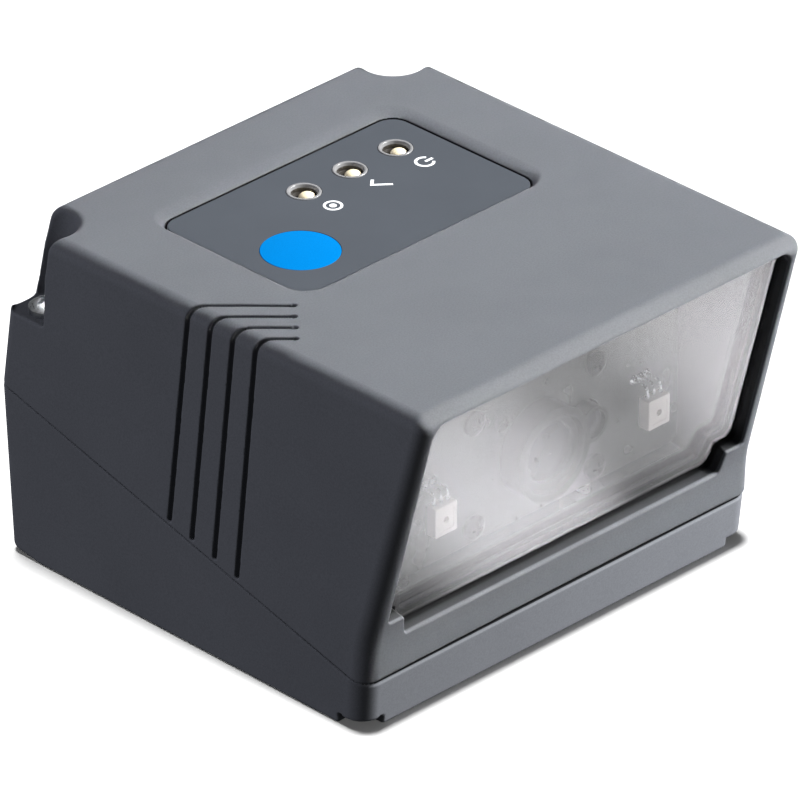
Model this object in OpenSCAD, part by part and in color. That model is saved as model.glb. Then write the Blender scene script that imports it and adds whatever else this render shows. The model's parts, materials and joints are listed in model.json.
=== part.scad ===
// Fixed barcode reader: a small two-shell housing with a sloping parting line,
// a leaning front window, a control panel on top and an imager inside.
// Front is -Y, +Z is up, the origin is under the middle of the housing.

/* [Housing] */
// Height of the housing
body_h = 42.4; // [42:0.1:43]
// Width across the flat top
top_w = 60; // [59.5:0.1:60.5]
// Outward flare of the cover's sides, mm per mm of height
side_flare = 0.0272; // [0.024:0.0004:0.03]
// Rounding of the top edges
top_r = 1.7; // [1.4:0.1:1.9]
// Wall thickness of both shells
wall = 2; // [1.9:0.1:2.1]
// Height of the parting line at the front
seam_front_z = 5.9; // [5.6:0.05:6.1]
// Height of the parting line at the back
seam_back_z = 21.6; // [21.4:0.05:21.9]

/* [Front window] */
// Half width of the window opening
win_hw = 28.2; // [28:0.1:28.3]
// Depth of the pane behind the front edge
win_inset = 1.9; // [1.7:0.1:2.1]
// Thickness of the pane
win_t = 1.5; // [1.3:0.1:1.6]

/* [Control panel] */
// Width of the recess in the top
panel_w = 38.85; // [38.5:0.05:39]
// Length of the recess in the top
panel_l = 25.2; // [25:0.1:25.4]
// Depth of the film's surface under the top
panel_drop = 0.5; // [0.4:0.05:0.55]
// Diameter of the trigger key
key_d = 9.1; // [8.9:0.1:9.3]
// Diameter of the three lamp lenses
lamp_d = 4; // [3.8:0.1:4.1]
// Travel of the trigger key
key_travel = 0.3; // [0.2:0.05:0.3]

/* [Mounting] */
// Spacing of the threaded inserts across the base
insert_sx = 28; // [26:1:29]
// Spacing of the threaded inserts along the base
insert_sy = 20; // [18:1:21]
// Bore radius of the threaded inserts
insert_r = 1.25; // [1.2:0.05:1.3]
// Bore radius of the cable inlet
gland_r = 2.5; // [2.2:0.1:2.7]

/* [Hidden] */
$fn = 64;
e = 0.01;
shift_y = 3.0;                 // puts the origin under the middle of the outline

// outline of the cover, front to back
front_top_y = -37.1;
knee_y = -29.0;
knee_z = 11.1;
back_top_y = 27.3;
back_flare = 0.10;
lean = (knee_y - front_top_y) / (body_h - knee_z);
lean_a = atan(lean);
chin = -0.055;
seam_m = (seam_back_z - seam_front_z) / 58.1;
function seam_z(y) = seam_front_z + seam_m * (y + 28.7);
function side_x(z) = top_w / 2 + side_flare * (body_h - z);
function front_y(z) = z >= knee_z ? front_top_y + lean * (body_h - z) : knee_y - chin * (knee_z - z);
function back_y(z) = back_top_y + back_flare * (body_h - z);

// panel on the top
panel_c = [0.43, 5.1];
film_c = [-0.1, 4.45];         // the film sits nearer to the front left of the recess
film_w = panel_w - 1.85;
film_l = panel_l - 2.1;
film_gap = 0.17;
film_t = 0.5;
film_z = body_h - panel_drop;
pocket_z = film_z - film_t;
ceil_z = body_h - 2.2;
key_p = [-11.35, 0.85];
key_r = key_d / 2;
lamp_y = 10.2;
lamp_x = [13.0, 5.75, -1.5];
lamp_r = lamp_d / 2;
ib_top = ceil_z - 3.2;         // top face of the indicator board
ib_t = 1;
ib_screw = [[15, 0], [-14.5, 11.5]];

// rear screws
rs_p = [27.3, 24.8];
scallop_p = [27.4, 24.9];
scallop_r = 3.75;
shoulder_z = 31.1;

// inner layout
floor_t = 2.4;
mb_z = 9;
mb_t = 1.2;
mb_screw = [[21, -8], [21, 20]];
ins_c = 10;
eng_z = 23;                    // height of the optical axis
ears = [14.6, -17];
gland_z = 15.2;
gland_y = 29.15;

module place() { translate([0, shift_y, 0]) children(); }
module pair_x() { children(); mirror([1, 0, 0]) children(); }

// flat rounded rectangle
module rrect(w, l, r) {
  square([w - 2 * r, l], center = true);
  square([w, l - 2 * r], center = true);
  for (sx = [-1, 1], sy = [-1, 1]) translate([sx * (w / 2 - r), sy * (l / 2 - r)]) circle(r);
}

// outline of the film, set out by g
module film_outline(g) { rrect(film_w + 2 * g, film_l + 2 * g, 2.3 + g); }

// four corner discs of the cover's outline at one height
module cover_ring(z, in, rf, rb) {
  for (s = [-1, 1]) {
    translate([s * (side_x(z) - in - rf), front_y(z) + in + rf, z]) cylinder(r = rf, h = e, $fn = 48);
    translate([s * (side_x(z) - in - rb), back_y(z) - in - rb, z]) cylinder(r = rb, h = e, $fn = 48);
  }
}
// outer form of the cover, set in by a wall
module cover_form(in, in_top, r) {
  zc = body_h - in_top - r;
  union() {
    hull() {
      for (s = [-1, 1]) {
        translate([s * (side_x(zc) - in - r), front_y(zc) + in + r * sqrt(1 + lean * lean), zc]) sphere(r, $fn = 48);
        translate([s * (side_x(zc) - in - r), back_y(zc) - in - r, zc]) sphere(r, $fn = 48);
      }
      cover_ring(knee_z, in, max(2.2 - in, 0.5), max(1.3 - in, 0.5));
    }
    hull() {
      cover_ring(knee_z, in, max(2.2 - in, 0.5), max(1.3 - in, 0.5));
      cover_ring(2, in, max(2.5 - in, 0.5), max(1.3 - in, 0.5));
    }
  }
}
// outer form of the base, set in by a wall, from height z0
function base_fx(z) = 30.8 + 0.0291 * z;
function base_bx(z) = 29.95 + 0.0291 * z;
function base_fy(z) = -28.1 - 0.088 * z;
function base_by(z) = 28.6 + 0.036 * z;
module base_form(in, z0, z1) {
  rf = max(2.5 - in, 0.5);
  rb = max(1.4 - in, 0.5);
  hull() for (z = [z0, z1], s = [-1, 1]) {
    translate([s * (base_fx(z) - in - rf), base_fy(z) + in + rf, z]) cylinder(r = rf, h = e, $fn = 48);
    translate([s * (base_bx(z) - in - rb), base_by(z) - in - rb, z]) cylinder(r = rb, h = e, $fn = 48);
  }
}
// everything above the parting plane raised by g
module above_seam(g) {
  translate([0, 0, seam_z(0) + g]) rotate([atan(seam_m), 0, 0]) translate([-60, -90, 0]) cube([120, 180, 90]);
}
// everything below the parting plane raised by g
module below_seam(g) {
  translate([0, 0, seam_z(0) + g]) rotate([atan(seam_m), 0, 0]) translate([-60, -90, -90]) cube([120, 180, 90]);
}
// frame of the leaning front face: X across, Y up the face, Z out of it
module on_front() { translate([0, front_top_y, body_h]) rotate([90 + lean_a, 0, 0]) children(); }
function face_v(z) = (z - body_h) / cos(lean_a);

// outline of the window opening, set in by g, on the front face
win_top = 40.9;
win_step = 13.5;
win_low = 10.9;
module window_outline(g) {
  vt = face_v(win_top) - g;
  vs = face_v(win_step) + g;
  vl = face_v(win_low) + g;
  h = win_hw - g;
  r = 1.6;
  difference() {
    union() {
      polygon([[-24.95 + g, vl], [24.95 - g, vl], [25.6 - g, vs], [h, vs], [h, vt], [-h, vt], [-h, vs], [-25.6 + g, vs]]);
    }
    for (s = [-1, 1]) translate([s * (h - r), vt - r]) difference() {
      translate([s > 0 ? 0 : -r - 1, 0]) square([r + 1, r + 1]);
      circle(r);
    }
  }
}

module groove(i) {
  y0 = 1.95 - 3.55 * i;                       // lower end on the side
  z0 = seam_z(y0) + 0.9;
  z1 = body_h - top_r;
  y1 = -0.7 - 3.5 * i;                        // where it meets the top edge
  dx = 7.0 - 1.69 * i;
  w = 0.62;
  a = atan((y0 - y1) / (z1 - z0));
  // down the side
  translate([-side_x(z1), y1, z1]) rotate([a, 0, 0]) rotate([0, atan(side_flare), 0])
    translate([-0.5, -w / 2, -(z1 - z0) / cos(a)]) cube([1, w, (z1 - z0) / cos(a)]);
  translate([-side_x(z0), y0, z0]) rotate([0, 90, 0]) translate([0, 0, -0.5]) cylinder(d = w, h = 1, $fn = 24);
  // over the rounded edge
  translate([-side_x(z1) + top_r, y1, z1]) rotate([0, 45, 0])
    translate([-top_r - 0.5, -w / 2, -1.15]) cube([1, w, 2.3]);
  // slanting inward across the top
  translate([-side_x(z1) + top_r, y1, body_h - 0.5]) rotate([0, 0, -45]) {
    translate([-0.9, -w / 2, 0]) cube([dx * sqrt(2) + 0.9, w, 1]);
    translate([dx * sqrt(2), 0, 0]) cylinder(d = w * 1.25, h = 1, $fn = 24);
  }
}

module upper_cover() place() color([0.40, 0.41, 0.44]) difference() {
  intersection() {
    above_seam(0.05);
    difference() {
      union() {
        difference() {
          cover_form(0, 0, top_r);
          difference() {
            cover_form(wall, 2.2, 0.6);
            // corner columns round the screw scallops
            pair_x() translate([scallop_p[0], scallop_p[1], 0]) cylinder(r = scallop_r + 1.5, h = 60);
            // bosses of the indicator board
            for (p = ib_screw) translate([p[0], p[1], ib_top]) cylinder(r = 2.1, h = 10);
            // window frame
            on_front() translate([0, 0, -5.4]) linear_extrude(height = 5.4) difference() {
              translate([-40, face_v(9.3)]) square([80, 60]);
              window_outline(1.3);
            }
          }
        }
      }
      // window opening down to the gasket's ledge
      on_front() translate([0, 0, -win_inset - win_t - 0.5]) linear_extrude(height = 10) window_outline(0);
      // screw scallops and clearance holes
      pair_x() {
        translate([scallop_p[0], scallop_p[1], shoulder_z]) cylinder(r = scallop_r, h = 30);
        translate([rs_p[0], rs_p[1], 0]) cylinder(r = 1.45, h = 60);
      }
      // panel recess with sloping walls
      hull() {
        translate([film_c[0], film_c[1], film_z]) linear_extrude(height = e) film_outline(film_gap);
        translate([panel_c[0], panel_c[1], body_h]) linear_extrude(height = e) rrect(panel_w, panel_l, 3);
        translate([panel_c[0], panel_c[1], body_h + 1]) linear_extrude(height = e) rrect(panel_w, panel_l, 3);
      }
      translate([film_c[0], film_c[1], pocket_z]) linear_extrude(height = film_t + 0.1) film_outline(film_gap);
      // holes for the key and the lamps
      translate([key_p[0], key_p[1], 30]) cylinder(r = key_r + 0.1, h = 30);
      for (x = lamp_x) translate([x, lamp_y, 30]) cylinder(r = lamp_r + 0.05, h = 30);
      // pilot holes of the indicator board
      for (p = ib_screw) translate([p[0], p[1], ib_top - 1]) cylinder(r = 0.85, h = 4);
      // decorative grooves, on the key's side only
      for (i = [0:3]) groove(i);
      // faint arch of the front lower edge
      translate([0, -20, seam_front_z + 0.42 - 700]) rotate([90, 0, 0]) cylinder(r = 700, h = 30, $fn = 256);
    }
  }
  // slots behind the front wall for the base's catches
  pair_x() translate([12, front_y(8) + 1.0, 7.6]) cube([6, 3, 1.4]);
}

module base_housing() place() color([0.38, 0.39, 0.42]) difference() {
  union() {
    difference() {
      base_form(0, 0, 25);
      base_form(wall, floor_t, 26);
      above_seam(-0.05);
    }
    difference() {
      intersection() {
        base_form(0.4, 0.2, 25);
        union() {
          pair_x() {
            translate([rs_p[0], rs_p[1], 0.5]) cylinder(r = 3.2, h = 30);
            for (p = mb_screw) translate([p[0], p[1], 1]) cylinder(r = 2.6, h = mb_z - 1);
            for (y = [-1, 1]) translate([insert_sx / 2, ins_c + y * insert_sy / 2, 0.5]) cylinder(r = 3.7, h = 6.4);
          }
        }
      }
      above_seam(-0.05);
    }
    // posts that carry the imager
    pair_x() translate([ears[0], ears[1], 1]) cylinder(r = 2.6, h = 12);
    // catches behind the front wall
    pair_x() translate([12.4, base_fy(4) + wall - 0.2, 3]) {
      cube([5.2, 1.1, 5.7]);
      translate([0, -0.75, 4.75]) cube([5.2, 1, 0.95]);
    }
  }
  pair_x() {
    // raised corners of the underside
    translate([27.4, -40, -1]) cube([10, 40 - 24.6, 2]);
    translate([26.6, 25, -1]) cube([10, 10, 2]);
    // pilot holes
    translate([rs_p[0], rs_p[1], 9]) cylinder(r = 1.25, h = 30);
    for (p = mb_screw) translate([p[0], p[1], 3.5]) cylinder(r = 0.95, h = 10);
    translate([ears[0], ears[1], 6]) cylinder(r = 0.95, h = 10);
    // seats of the threaded inserts
    for (y = [-1, 1]) translate([insert_sx / 2, ins_c + y * insert_sy / 2, -1]) cylinder(r = 2.1, h = 6.2);
  }
  // hole of the cable inlet and the flat seat round it
  translate([0, 20, gland_z]) rotate([-90, 0, 0]) cylinder(r = 4.2, h = 20);
  translate([0, gland_y - 0.02, gland_z]) rotate([-90, 0, 0]) cylinder(r = 5.7, h = 5);
  // groove of the seal
  difference() {
    base_form(0.75, 1, 25);
    base_form(1.35, 0.5, 26);
    below_seam(-0.95);
  }
}

module housing_seal() place() color([0.12, 0.12, 0.13]) difference() {
  base_form(0.8, 1.5, 25);
  base_form(1.3, 1, 26);
  below_seam(-0.9);
  above_seam(0.04);
}

module front_window() place() color([0.82, 0.85, 0.88, 0.4])
  on_front() translate([0, 0, -win_inset - win_t]) linear_extrude(height = win_t) window_outline(0.08);

module window_gasket() place() color([0.1, 0.1, 0.1])
  on_front() translate([0, 0, -win_inset - win_t - 0.5]) linear_extrude(height = 0.5) difference() {
    window_outline(0.08);
    window_outline(1.25);
  }

module control_overlay() place() color([0.36, 0.38, 0.42])
  translate([0, 0, pocket_z]) linear_extrude(height = film_t) difference() {
    translate(film_c) film_outline(0);
    translate(key_p) circle(key_r + 0.1);
    for (x = lamp_x) translate([x, lamp_y]) circle(lamp_r + 0.05);
  }

module trigger_button() place() color([0.0, 0.55, 0.93]) translate([key_p[0], key_p[1], 0]) {
  translate([0, 0, ceil_z - 0.9]) cylinder(r = key_r, h = film_z - ceil_z + 0.9);
  translate([0, 0, ceil_z - 0.9]) cylinder(r = key_r + 0.8, h = 0.85);
  translate([0, 0, ib_top + 2.2]) cylinder(r = 1.5, h = ceil_z - ib_top - 3);
}

module light_pipe(x) place() color([0.9, 0.93, 0.95, 0.5]) translate([x, lamp_y, 0]) rotate_extrude()
  difference() {
    union() {
      translate([0, ib_top + 1.5]) square([lamp_r, film_z - ib_top - 1.4]);
      translate([0, ceil_z - 0.7]) square([lamp_r + 0.35, 0.67]);
    }
    // shallow dish in the face
    polygon([[0, film_z - 0.35], [1.2, film_z - 0.35], [1.65, film_z + 1], [0, film_z + 1]]);
  }
module light_pipe_power() light_pipe(lamp_x[0]);
module light_pipe_good() light_pipe(lamp_x[1]);
module light_pipe_trigger() light_pipe(lamp_x[2]);

// pan-head screw with its head's seat at z = 0, pointing down
module pan_screw(rh, hh, rs, l) {
  difference() {
    rotate_extrude() intersection() {
      union() {
        translate([0, -l]) square([rs, l + 0.1]);
        translate([0, 0]) square([rh, hh * 0.45]);
        translate([0, hh * 0.45]) intersection() {
          scale([1, 1]) translate([0, -(rh * rh - hh * hh * 0.3) / (2 * hh * 0.55)]) circle((rh * rh + hh * hh * 0.3) / (2 * hh * 0.55));
          square([rh, hh]);
        }
      }
      translate([0, -l - 1]) square([rh, l + hh + 2]);
    }
    for (a = [0, 90]) rotate([0, 0, a]) translate([-rh * 0.55, -rh * 0.12, hh * 0.5]) cube([rh * 1.1, rh * 0.24, hh]);
  }
}
module rear_cover_screws() place() color([0.8, 0.82, 0.84])
  pair_x() translate([rs_p[0], rs_p[1], shoulder_z]) pan_screw(2.1, 1.6, 1.2, 20);

module board(p0, p1, z, t, holes, r) {
  translate([0, 0, z]) linear_extrude(height = t) difference() {
    translate([(p0[0] + p1[0]) / 2, (p0[1] + p1[1]) / 2]) rrect(p1[0] - p0[0], p1[1] - p0[1], 1);
    for (h = holes) translate(h) circle(r);
  }
}
module indicator_board() place() color([0.05, 0.32, 0.16])
  board([-17.5, -4.5], [17.5, 14.5], ib_top - ib_t, ib_t, ib_screw, 1.1);
module indicator_leds() place() color([0.95, 0.92, 0.78])
  for (x = lamp_x) translate([x, lamp_y, ib_top]) union() {
    translate([-1.6, -1.4, 0]) cube([3.2, 2.8, 0.8]);
    translate([0, 0, 0.7]) cylinder(r = 1.2, h = 0.5);
  }
module indicator_board_screws() place() color([0.75, 0.76, 0.78])
  for (p = ib_screw) translate([p[0], p[1], ib_top - ib_t]) mirror([0, 0, 1]) pan_screw(1.8, 1.1, 0.8, 3.6);
module key_switch() place() color([0.15, 0.15, 0.16]) translate([key_p[0], key_p[1], ib_top]) difference() {
  union() {
    translate([-3, -3, 0]) cube([6, 6, 1.4]);
    for (sx = [-1, 1], sy = [-1, 1]) translate([sx * 3.5 - 0.5, sy * 1.8 - 0.4, 0]) cube([1, 0.8, 0.3]);
  }
  translate([0, 0, 0.8 - key_travel]) cylinder(r = 1.75, h = 2);
}
module switch_plunger() place() color([0.85, 0.85, 0.8])
  translate([key_p[0], key_p[1], ib_top + 1]) cylinder(r = 1.6, h = 1.2);

// ribbon bent once, with its profile in the Y-Z plane
module indicator_flex() place() color([0.75, 0.52, 0.2]) translate([8, 0, 0]) rotate([90, 0, 90]) linear_extrude(height = 8) {
  zt = ib_top - ib_t;
  translate([8, zt - 0.2]) square([6.2, 0.2]);
  translate([15.8, mb_z + mb_t + 2]) square([0.2, zt - 2 - mb_z - mb_t - 2]);
  translate([14, zt - 2]) intersection() {
    difference() { circle(2); circle(1.8); }
    square([3, 3]);
  }
}
module indicator_connector() place() color([0.9, 0.88, 0.8]) translate([7, 14.4, mb_z + mb_t]) difference() {
  cube([10, 3, 2]);
  translate([0.9, 1.2, 1.0]) cube([8.2, 0.6, 0.5]);
}

module imager_chassis() place() color([0.09, 0.09, 0.1]) difference() {
  union() {
    translate([-12, -22.2, 14.4]) cube([24, 10.2, 17.2]);
    translate([-17.6, -20, 13]) cube([35.2, 6.4, 1.6]);
  }
  translate([0, -30, eng_z]) rotate([-90, 0, 0]) cylinder(r = 4.55, h = 17);
  translate([0, -13.1, eng_z]) translate([-3.6, 0, -3.1]) cube([7.2, 3, 6.2]);
  translate([8, -30, eng_z]) rotate([-90, 0, 0]) cylinder(r = 2.25, h = 16);
  pair_x() translate([ears[0], ears[1], 10]) cylinder(r = 1.15, h = 10);
  pair_x() translate([9.6, -23, 29.6]) rotate([-90, 0, 0]) cylinder(r = 0.8, h = 5);
  pair_x() translate([9.6, -23, 16.4]) rotate([-90, 0, 0]) cylinder(r = 0.8, h = 5);
}
module lens_barrel() place() color([0.12, 0.12, 0.13]) translate([0, -26, eng_z]) rotate([-90, 0, 0]) difference() {
  union() {
    cylinder(r = 4.5, h = 11.5);
    translate([0, 0, 0.6]) cylinder(r = 4.7, h = 0.8);
  }
  translate([0, 0, -1]) cylinder(r = 3.6, h = 2.6);
  cylinder(r = 2.2, h = 20);
}
module front_lens() place() color([0.45, 0.55, 0.7, 0.5]) translate([0, -25.95, eng_z]) rotate([-90, 0, 0]) rotate_extrude()
  intersection() {
    translate([0, 11]) circle(11);
    square([3.55, 1.55]);
  }
module image_sensor() place() color([0.2, 0.22, 0.26]) translate([0, -12.9, eng_z]) union() {
  translate([-3.2, 0, -2.7]) cube([6.4, 0.9, 5.4]);
  translate([-2.2, -0.15, -1.7]) cube([4.4, 0.3, 3.4]);
}
module sensor_board() place() color([0.05, 0.3, 0.15]) translate([0, -12, eng_z]) rotate([-90, 0, 0])
  linear_extrude(height = 1.1) rrect(22, 16.4, 0.8);
module aimer_barrel() place() color([0.12, 0.12, 0.13]) translate([8, -25, eng_z]) rotate([-90, 0, 0]) difference() {
  cylinder(r = 2.2, h = 10.5);
  translate([0, 0, -1]) cylinder(r = 1.7, h = 2.2);
  cylinder(r = 1.0, h = 8);
}
module aimer_lens() place() color([0.75, 0.3, 0.28, 0.6]) translate([8, -24.95, eng_z]) rotate([-90, 0, 0]) rotate_extrude()
  intersection() {
    translate([0, 3]) circle(3);
    square([1.65, 1.1]);
  }
module lens_shroud() place() color([0.06, 0.06, 0.06]) translate([0, -26.6, eng_z]) rotate([-90, 0, 0]) difference() {
  cylinder(r = 5.7, h = 3);
  translate([0, 0, -1]) cylinder(r = 4.75, h = 6);
}
module illumination_board() place() color([0.14, 0.15, 0.16]) translate([0, -23.4, eng_z]) rotate([-90, 0, 0])
  linear_extrude(height = 1.2) difference() {
    rrect(46, 17.2, 1);
    circle(5);
    translate([8, 0]) circle(2.5);
    for (sx = [-1, 1], sy = [-1, 1]) translate([sx * 9.6, sy * 6.6]) circle(1);
  }
module illumination_board_screws() place() color([0.16, 0.16, 0.17])
  for (sx = [-1, 1], sy = [-1, 1]) translate([sx * 9.6, -23.4, eng_z + sy * 6.6]) rotate([90, 0, 0]) pan_screw(1.5, 0.9, 0.75, 4.5);
led_p = [16.9, -26.5, 19.75];
module illumination_led() {
  difference() {
    translate([led_p[0] - 1.7, led_p[1], led_p[2]]) cube([3.4, 1.6, 3.7]);
    translate([led_p[0], led_p[1] - 1, led_p[2] + 1.8]) rotate([-90, 0, 0]) cylinder(r = 0.4, h = 1.3, $fn = 24);
  }
}
module illumination_led_right() place() color([0.93, 0.9, 0.88]) illumination_led();
module illumination_led_left() place() color([0.93, 0.9, 0.88]) mirror([1, 0, 0]) illumination_led();
module illumination_led_leads() place() color([0.75, 0.76, 0.78]) pair_x()
  for (i = [-1, 0, 1]) translate([led_p[0] + i * 1.05 - 0.2, 0, led_p[2] + 3.7]) rotate([90, 0, 90]) linear_extrude(height = 0.4) {
    translate([led_p[1] + 0.7, 0]) square([0.4, 0.8]);
    translate([led_p[1] + 1.7, 0.8]) intersection() {
      difference() { circle(1); circle(0.6); }
      translate([-1, 0]) square([1, 1]);
    }
    translate([led_p[1] + 1.7, 1.4]) square([-23.4 - led_p[1] - 1.7, 0.4]);
  }
module engine_screws() place() color([0.75, 0.76, 0.78])
  pair_x() translate([ears[0], ears[1], 14.6]) pan_screw(2, 1.2, 0.9, 7);
module engine_flex() place() color([0.75, 0.52, 0.2]) translate([-4, -10.9, mb_z + mb_t + 2]) cube([8, 0.2, 8]);
module engine_connector() place() color([0.9, 0.88, 0.8]) translate([-5, -10.95, mb_z + mb_t]) difference() {
  cube([10, 3, 2]);
  translate([0.9, 1.4, 1.0]) cube([8.2, 2, 0.5]);
}

module main_board() place() color([0.05, 0.32, 0.16])
  board([-24, -11], [24, 23], mb_z, mb_t, [for (p = mb_screw, s = [-1, 1]) [s * p[0], p[1]]], 1.15);
module main_board_screws() place() color([0.75, 0.76, 0.78])
  for (p = mb_screw) pair_x() translate([p[0], p[1], mb_z + mb_t]) pan_screw(2, 1.2, 0.9, 6);
module processor_chip() place() color([0.1, 0.1, 0.11]) translate([0, 2, mb_z + mb_t]) difference() {
  union() {
    translate([-6, -6, 0.1]) cube([12, 12, 1.1]);
    for (a = [0:90:270]) rotate([0, 0, a]) for (i = [-5:5]) translate([i - 0.2, -6.7, 0]) cube([0.4, 0.9, 0.2]);
  }
  translate([-4.6, 4.6, 1.05]) cylinder(r = 0.6, h = 1, $fn = 24);
}
module memory_chip() place() color([0.1, 0.1, 0.11]) translate([13.5, 3, mb_z + mb_t]) difference() {
  union() {
    translate([-4, -3, 0.1]) cube([8, 6, 0.9]);
    for (s = [-1, 1], i = [-3:3]) translate([i - 0.2, s * 3.3 - 0.4, 0]) cube([0.4, 0.8, 0.2]);
  }
  translate([-3, -2, 0.85]) cylinder(r = 0.45, h = 1, $fn = 24);
}
module buzzer() place() color([0.1, 0.1, 0.1]) translate([-14.5, 4, mb_z + mb_t]) difference() {
  cylinder(r = 4.5, h = 3.8);
  translate([0, 0, 2.8]) cylinder(r = 1, h = 2);
}
module cable_connector() place() color([0.92, 0.9, 0.84]) translate([-6, 16.5, mb_z + mb_t]) difference() {
  cube([12, 5, 4.2]);
  translate([0.8, 1.5, 0.9]) cube([10.4, 6, 2.5]);
}
module cable_gland() place() color([0.1, 0.1, 0.1]) translate([0, 0, gland_z]) rotate([-90, 0, 0]) difference() {
  union() {
    translate([0, 0, 25.9]) cylinder(r = 4.15, h = 4.4);
    translate([0, 0, gland_y]) rotate_extrude() {
      square([5.0, 1.45]);
      translate([0, 0]) square([5.4, 1.0]);
      translate([5.0, 1.0]) circle(0.4);
    }
    translate([0, 0, 25.9]) cylinder(r = 5.0, h = 1.0);
  }
  translate([0, 0, 20]) cylinder(r = gland_r, h = 20);
}
module mounting_inserts() place() color([0.78, 0.62, 0.28])
  for (y = [-1, 1]) pair_x() translate([insert_sx / 2, ins_c + y * insert_sy / 2, 0.05]) difference() {
    union() {
      cylinder(r = 2.05, h = 2);
      translate([0, 0, 2]) cylinder(r = 1.85, h = 0.8);
      translate([0, 0, 2.8]) cylinder(r = 2.05, h = 2.2);
    }
    translate([0, 0, -1]) cylinder(r = insert_r, h = 8);
  }

upper_cover();
base_housing();
housing_seal();
front_window();
window_gasket();
control_overlay();
trigger_button();
light_pipe_power();
light_pipe_good();
light_pipe_trigger();
rear_cover_screws();
indicator_board();
indicator_leds();
indicator_board_screws();
key_switch();
switch_plunger();
indicator_flex();
indicator_connector();
imager_chassis();
lens_barrel();
front_lens();
image_sensor();
sensor_board();
aimer_barrel();
aimer_lens();
lens_shroud();
illumination_board();
illumination_board_screws();
illumination_led_left();
illumination_led_right();
illumination_led_leads();
engine_screws();
engine_flex();
engine_connector();
main_board();
main_board_screws();
processor_chip();
memory_chip();
buzzer();
cable_connector();
cable_gland();
mounting_inserts();
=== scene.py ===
import json
import math

import bmesh
import bpy
import numpy as np
from mathutils import Matrix, Vector


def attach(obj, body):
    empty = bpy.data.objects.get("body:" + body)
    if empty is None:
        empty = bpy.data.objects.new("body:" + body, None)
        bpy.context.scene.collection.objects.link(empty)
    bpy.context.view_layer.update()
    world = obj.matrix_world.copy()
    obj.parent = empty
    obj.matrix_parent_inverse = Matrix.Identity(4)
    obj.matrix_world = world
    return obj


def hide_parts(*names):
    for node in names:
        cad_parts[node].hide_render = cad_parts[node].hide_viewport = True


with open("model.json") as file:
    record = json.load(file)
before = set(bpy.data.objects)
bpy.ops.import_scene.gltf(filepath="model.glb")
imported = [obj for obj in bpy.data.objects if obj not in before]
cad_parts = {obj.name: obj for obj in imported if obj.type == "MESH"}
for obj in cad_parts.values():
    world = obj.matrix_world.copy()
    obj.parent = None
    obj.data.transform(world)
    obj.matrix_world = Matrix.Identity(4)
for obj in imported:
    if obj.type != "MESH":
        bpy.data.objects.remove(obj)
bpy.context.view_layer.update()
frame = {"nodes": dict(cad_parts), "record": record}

NODES = frame["nodes"]
MM = 0.001
SY = 3.0  # the shapes below are written with y counted from 3 mm in front of the frame's origin
scene = bpy.context.scene

# ---------------------------------------------------------------- camera
right = Vector((0.7021, -0.7120, 0.0)).normalized()
back = Vector((-0.6197, -0.6111, 0.4924)).normalized()
up = back.cross(right).normalized()
right = up.cross(back).normalized()
roll = math.radians(0.22)
right, up = right * math.cos(roll) + up * math.sin(roll), up * math.cos(roll) - right * math.sin(roll)
target = Vector((1.03, 0.53, 19.28)) * MM
cam_data = bpy.data.cameras.new("camera")
cam_data.lens = 544.3
cam_data.sensor_width = 36
cam_data.sensor_fit = "AUTO"
cam_data.clip_start = 0.05
cam_data.clip_end = 100
cam = bpy.data.objects.new("camera", cam_data)
scene.collection.objects.link(cam)
rot = Matrix((right, up, back)).transposed().to_4x4()
cam.matrix_world = Matrix.Translation(target + back * 1.3524) @ rot
scene.camera = cam

# ---------------------------------------------------------------- studio
scene.view_settings.view_transform = "Standard"
scene.view_settings.look = "None"
world = bpy.data.worlds.new("studio")
scene.world = world
world.use_nodes = True
bg = world.node_tree.nodes["Background"]
bg.inputs["Color"].default_value = (0.96, 0.98, 1.0, 1)
bg.inputs["Strength"].default_value = 0.08


def area(name, where, aim, size, power, colour=(1, 1, 1), spread=180):
    d = bpy.data.lights.new(name, "AREA")
    d.shape = "RECTANGLE"
    d.size, d.size_y = size
    d.energy = power
    d.color = colour
    d.spread = math.radians(spread)
    o = bpy.data.objects.new(name, d)
    scene.collection.objects.link(o)
    w, a = Vector(where), Vector(aim)
    o.location = w
    o.rotation_mode = "QUATERNION"
    o.rotation_quaternion = (a - w).to_track_quat("-Z", "Y")
    return o


main = area("main", (0.66, -0.40, 0.66), (0, 0, 0.02), (0.34, 0.34), 41.8, (1.0, 1.0, 0.99))
fill = area("left_fill", (-0.78, 0.58, 0.5), (0, 0, 0.02), (0.5, 0.5), 7.0, (0.95, 0.96, 1.06))
low = area("low_front", (0.10, -0.12, 0.012), (0, -0.03, 0.003), (0.06, 0.02), 0.295)
chin = area("low_chin", (0.10, -0.12, 0.012), (0, -0.03, 0.008), (0.06, 0.02), 0.21)
main.visible_glossy = False
fill.visible_glossy = False
# the same light once more, for the gloss of the metal pieces and the lamps only
spark = area("spark", (0.66, -0.40, 0.66), (0, 0, 0.02), (0.34, 0.34), 41.8)
spark.visible_diffuse = False
# and weaker, for the sheen of the cover's front edge
sheen = area("sheen", (0.66, -0.40, 0.66), (0, 0, 0.02), (0.34, 0.34), 16.0)
sheen.visible_diffuse = False
glint = area("screw_glint", (0.30, 0.05, 0.65), (-0.027, 0.028, 0.032), (1.1, 1.1), 10.5)
glint.data.cycles.use_multiple_importance_sampling = False
wash = area("floor_wash", (0.0, 0.14, 1.2), (0, 0, 0), (0.3, 0.3), 40.6)
# a little of it reaches the floor everywhere, so that the contact shadow is not black
lift = area("floor_lift", (0.0, 0.14, 1.2), (0, 0, 0), (0.3, 0.3), 2.4)


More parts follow.
